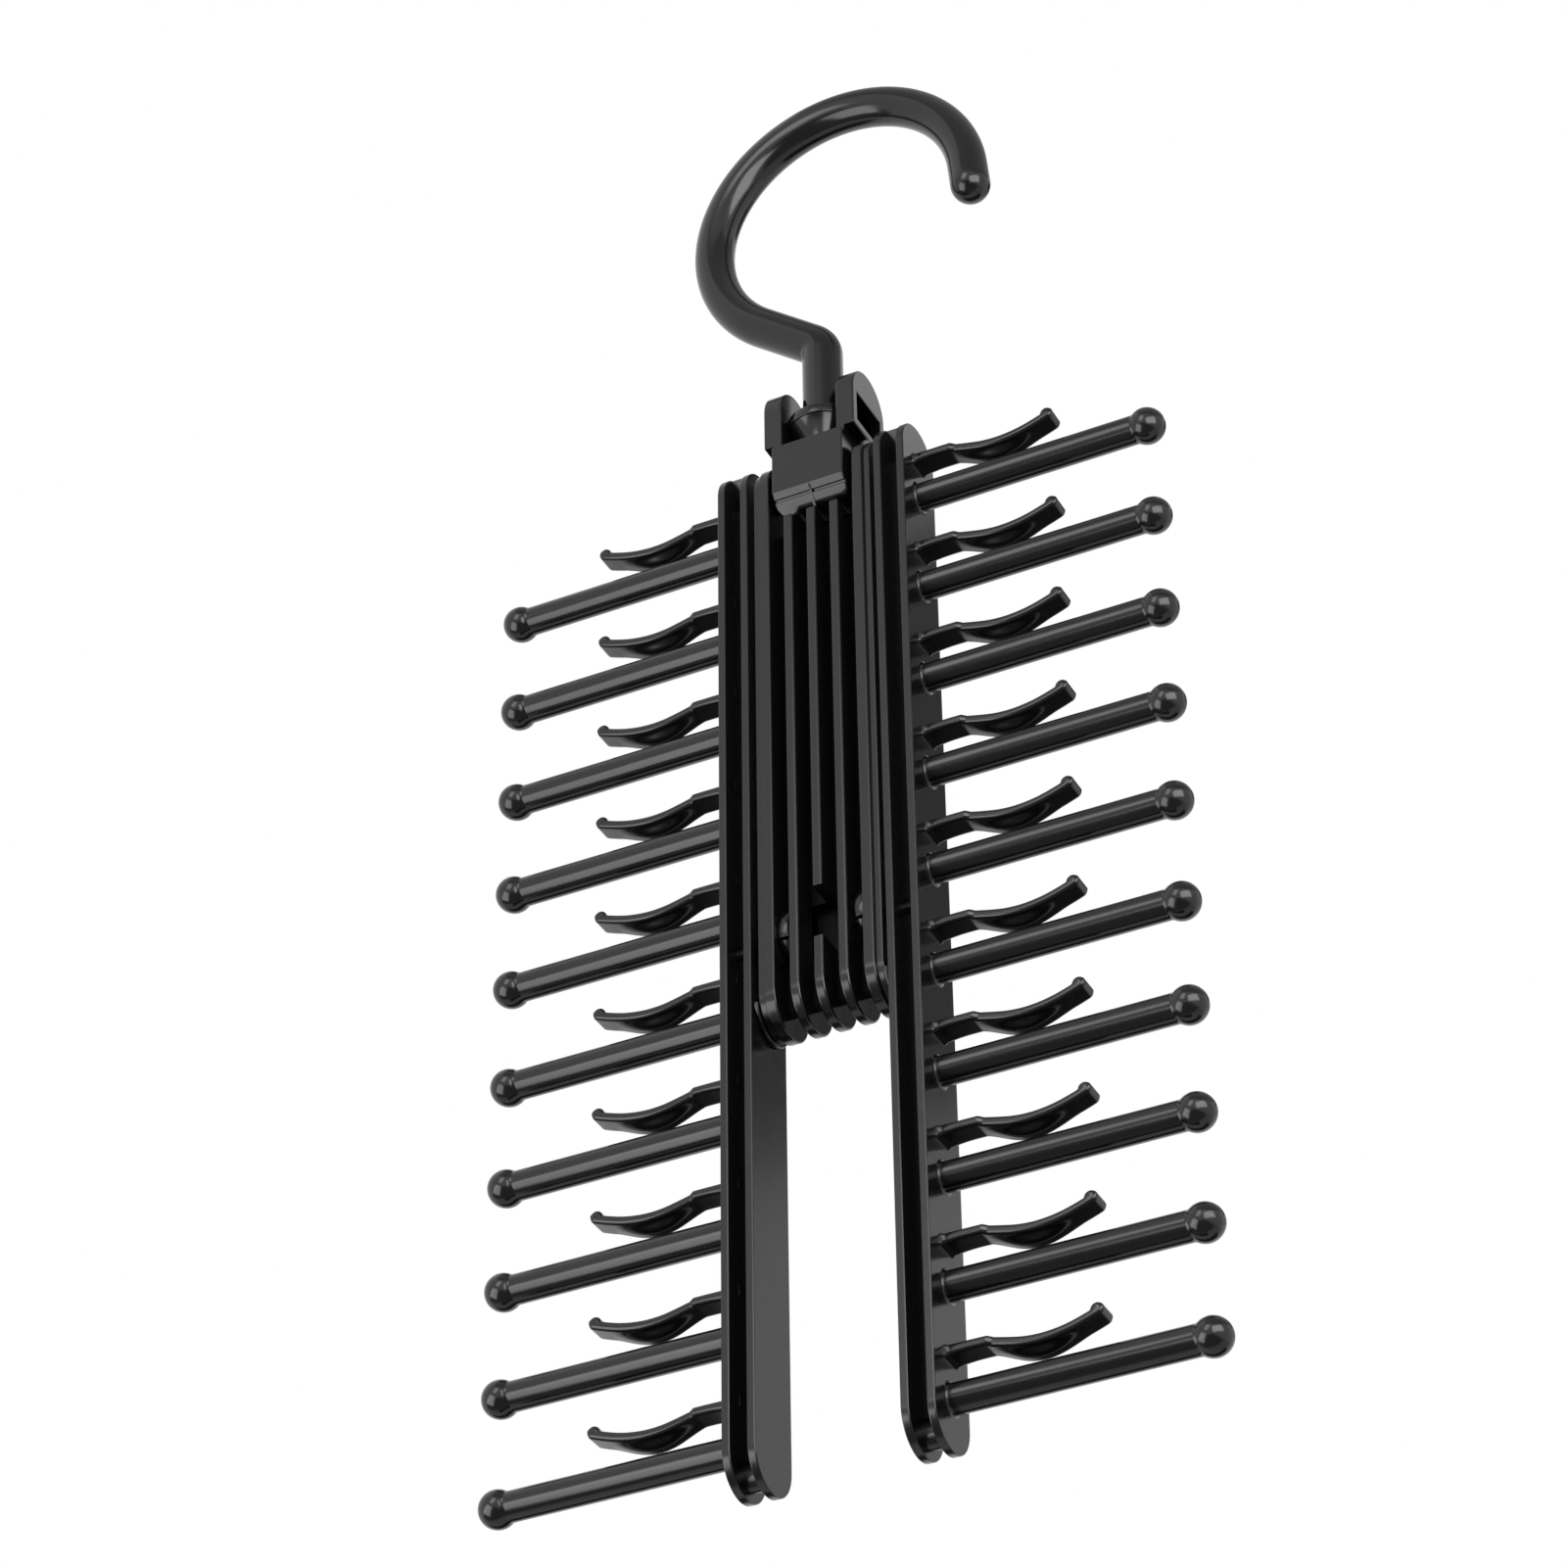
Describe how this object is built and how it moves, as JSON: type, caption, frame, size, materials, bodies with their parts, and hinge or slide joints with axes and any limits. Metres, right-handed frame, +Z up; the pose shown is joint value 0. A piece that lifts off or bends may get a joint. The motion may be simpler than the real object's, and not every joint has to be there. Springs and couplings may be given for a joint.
{
  "type": "folding tie hanger",
  "caption": "Folding tie hanger with a swivel hook, a ribbed centre bar and side rails that swing out; ball-ended pegs each lie under a springy clip finger.",
  "frame": {"origin": "the point of the hook's loop that rests on top of a closet rod, on the axis of the stem", "axes": "+X along the right-hand pegs, +Y to the back, +Z up along the stem"},
  "size_m": [0.1474, 0.0172, 0.3285],
  "materials": {
    "hook": "gloss",
    "frame": "gloss",
    "rail": "gloss",
    "peg": "gloss",
    "clip": "gloss"
  },
  "bodies": {
    "hook_body": {"hook": "hook", "hook_retainer": "frame"},
    "frame_body": {"bracket": "frame", "bracket_pin": "frame", "centre_bar": "frame"},
    "right_rail_body": {"right_rail": "rail", "right_pivot_pin": "rail", "right_peg_01": "peg", "right_peg_02": "peg", "right_peg_03": "peg", "right_peg_04": "peg", "right_peg_05": "peg", "right_peg_06": "peg", "right_peg_07": "peg", "right_peg_08": "peg", "right_peg_09": "peg", "right_peg_10": "peg"},
    "right_clip_01_body": {"right_clip_01": "clip"},
    "right_clip_02_body": {"right_clip_02": "clip"},
    "right_clip_03_body": {"right_clip_03": "clip"},
    "right_clip_04_body": {"right_clip_04": "clip"},
    "right_clip_05_body": {"right_clip_05": "clip"},
    "right_clip_06_body": {"right_clip_06": "clip"},
    "right_clip_07_body": {"right_clip_07": "clip"},
    "right_clip_08_body": {"right_clip_08": "clip"},
    "right_clip_09_body": {"right_clip_09": "clip"},
    "right_clip_10_body": {"right_clip_10": "clip"},
    "left_rail_body": {"left_rail": "rail", "left_pivot_pin": "rail", "left_peg_01": "peg", "left_peg_02": "peg", "left_peg_03": "peg", "left_peg_04": "peg", "left_peg_05": "peg", "left_peg_06": "peg", "left_peg_07": "peg", "left_peg_08": "peg", "left_peg_09": "peg", "left_peg_10": "peg"},
    "left_clip_01_body": {"left_clip_01": "clip"},
    "left_clip_02_body": {"left_clip_02": "clip"},
    "left_clip_03_body": {"left_clip_03": "clip"},
    "left_clip_04_body": {"left_clip_04": "clip"},
    "left_clip_05_body": {"left_clip_05": "clip"},
    "left_clip_06_body": {"left_clip_06": "clip"},
    "left_clip_07_body": {"left_clip_07": "clip"},
    "left_clip_08_body": {"left_clip_08": "clip"},
    "left_clip_09_body": {"left_clip_09": "clip"},
    "left_clip_10_body": {"left_clip_10": "clip"}
  },
  "joints": [
    {"name": "hook_swivel", "type": "hinge", "parent": "hook_body", "child": "frame_body", "pos_m": [0, 0, -0.0813], "axis": [0, 0, 1], "continuous": true},
    {"name": "right_rail_swing", "type": "hinge", "parent": "frame_body", "child": "right_rail_body", "pos_m": [0.01745, 0, -0.2043], "axis": [1, 0, 0], "range_deg": [0, 60]},
    {"name": "right_clip_01_spring", "type": "hinge", "parent": "right_rail_body", "child": "right_clip_01_body", "pos_m": [0.01745, 0, -0.0981], "axis": [0, -1, 0], "range_deg": [-4, 8], "stiffness_Nm_per_rad": 0.05},
    {"name": "right_clip_02_spring", "type": "hinge", "parent": "right_rail_body", "child": "right_clip_02_body", "pos_m": [0.01745, 0, -0.1206], "axis": [0, -1, 0], "range_deg": [-4, 8], "stiffness_Nm_per_rad": 0.05},
    {"name": "right_clip_03_spring", "type": "hinge", "parent": "right_rail_body", "child": "right_clip_03_body", "pos_m": [0.01745, 0, -0.1431], "axis": [0, -1, 0], "range_deg": [-4, 8], "stiffness_Nm_per_rad": 0.05},
    {"name": "right_clip_04_spring", "type": "hinge", "parent": "right_rail_body", "child": "right_clip_04_body", "pos_m": [0.01745, 0, -0.1656], "axis": [0, -1, 0], "range_deg": [-4, 8], "stiffness_Nm_per_rad": 0.05},
    {"name": "right_clip_05_spring", "type": "hinge", "parent": "right_rail_body", "child": "right_clip_05_body", "pos_m": [0.01745, 0, -0.1881], "axis": [0, -1, 0], "range_deg": [-4, 8], "stiffness_Nm_per_rad": 0.05},
    {"name": "right_clip_06_spring", "type": "hinge", "parent": "right_rail_body", "child": "right_clip_06_body", "pos_m": [0.01745, 0, -0.2106], "axis": [0, -1, 0], "range_deg": [-4, 8], "stiffness_Nm_per_rad": 0.05},
    {"name": "right_clip_07_spring", "type": "hinge", "parent": "right_rail_body", "child": "right_clip_07_body", "pos_m": [0.01745, 0, -0.2331], "axis": [0, -1, 0], "range_deg": [-4, 8], "stiffness_Nm_per_rad": 0.05},
    {"name": "right_clip_08_spring", "type": "hinge", "parent": "right_rail_body", "child": "right_clip_08_body", "pos_m": [0.01745, 0, -0.2556], "axis": [0, -1, 0], "range_deg": [-4, 8], "stiffness_Nm_per_rad": 0.05},
    {"name": "right_clip_09_spring", "type": "hinge", "parent": "right_rail_body", "child": "right_clip_09_body", "pos_m": [0.01745, 0, -0.2781], "axis": [0, -1, 0], "range_deg": [-4, 8], "stiffness_Nm_per_rad": 0.05},
    {"name": "right_clip_10_spring", "type": "hinge", "parent": "right_rail_body", "child": "right_clip_10_body", "pos_m": [0.01745, 0, -0.3006], "axis": [0, -1, 0], "range_deg": [-4, 8], "stiffness_Nm_per_rad": 0.05},
    {"name": "left_rail_swing", "type": "hinge", "parent": "frame_body", "child": "left_rail_body", "pos_m": [-0.01745, 0, -0.2043], "axis": [-1, 0, 0], "range_deg": [0, 60]},
    {"name": "left_clip_01_spring", "type": "hinge", "parent": "left_rail_body", "child": "left_clip_01_body", "pos_m": [-0.01745, 0, -0.0981], "axis": [0, 1, 0], "range_deg": [-4, 8], "stiffness_Nm_per_rad": 0.05},
    {"name": "left_clip_02_spring", "type": "hinge", "parent": "left_rail_body", "child": "left_clip_02_body", "pos_m": [-0.01745, 0, -0.1206], "axis": [0, 1, 0], "range_deg": [-4, 8], "stiffness_Nm_per_rad": 0.05},
    {"name": "left_clip_03_spring", "type": "hinge", "parent": "left_rail_body", "child": "left_clip_03_body", "pos_m": [-0.01745, 0, -0.1431], "axis": [0, 1, 0], "range_deg": [-4, 8], "stiffness_Nm_per_rad": 0.05},
    {"name": "left_clip_04_spring", "type": "hinge", "parent": "left_rail_body", "child": "left_clip_04_body", "pos_m": [-0.01745, 0, -0.1656], "axis": [0, 1, 0], "range_deg": [-4, 8], "stiffness_Nm_per_rad": 0.05},
    {"name": "left_clip_05_spring", "type": "hinge", "parent": "left_rail_body", "child": "left_clip_05_body", "pos_m": [-0.01745, 0, -0.1881], "axis": [0, 1, 0], "range_deg": [-4, 8], "stiffness_Nm_per_rad": 0.05},
    {"name": "left_clip_06_spring", "type": "hinge", "parent": "left_rail_body", "child": "left_clip_06_body", "pos_m": [-0.01745, 0, -0.2106], "axis": [0, 1, 0], "range_deg": [-4, 8], "stiffness_Nm_per_rad": 0.05},
    {"name": "left_clip_07_spring", "type": "hinge", "parent": "left_rail_body", "child": "left_clip_07_body", "pos_m": [-0.01745, 0, -0.2331], "axis": [0, 1, 0], "range_deg": [-4, 8], "stiffness_Nm_per_rad": 0.05},
    {"name": "left_clip_08_spring", "type": "hinge", "parent": "left_rail_body", "child": "left_clip_08_body", "pos_m": [-0.01745, 0, -0.2556], "axis": [0, 1, 0], "range_deg": [-4, 8], "stiffness_Nm_per_rad": 0.05},
    {"name": "left_clip_09_spring", "type": "hinge", "parent": "left_rail_body", "child": "left_clip_09_body", "pos_m": [-0.01745, 0, -0.2781], "axis": [0, 1, 0], "range_deg": [-4, 8], "stiffness_Nm_per_rad": 0.05},
    {"name": "left_clip_10_spring", "type": "hinge", "parent": "left_rail_body", "child": "left_clip_10_body", "pos_m": [-0.01745, 0, -0.3006], "axis": [0, 1, 0], "range_deg": [-4, 8], "stiffness_Nm_per_rad": 0.05}
  ]
}
